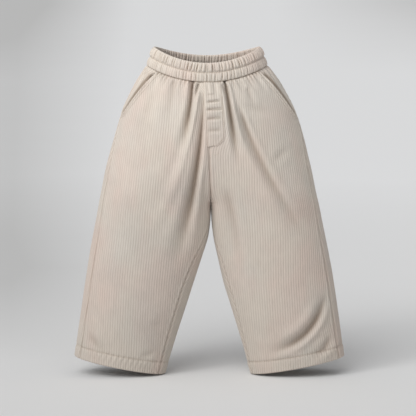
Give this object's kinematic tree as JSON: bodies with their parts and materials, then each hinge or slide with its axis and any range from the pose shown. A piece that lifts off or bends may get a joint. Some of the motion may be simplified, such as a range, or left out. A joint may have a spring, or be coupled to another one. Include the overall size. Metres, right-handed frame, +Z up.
{
  "type": "corduroy trousers",
  "caption": "Small child's pull-on wide-leg corduroy trousers, hollow as if worn: gathered elastic waistband, mock fly, slanted front pockets, splayed tapering legs and turned-up hems.",
  "frame": {"origin": "the middle of the waistband, where the wearer's waist holds the trousers up", "axes": "+Z up along the body, +X towards the wearer's left, -Y is the front"},
  "size_m": [0.4635, 0.1716, 0.5603],
  "materials": {
    "corduroy": "wide-wale cotton corduroy, cream"
  },
  "bodies": {
    "root": {"waistband": "corduroy", "mock_fly": "corduroy", "front_left": "corduroy", "back_left": "corduroy", "pocket_facing_left": "corduroy", "hem_left": "corduroy", "front_right": "corduroy", "back_right": "corduroy", "pocket_facing_right": "corduroy", "hem_right": "corduroy"}
  },
  "joints": []
}
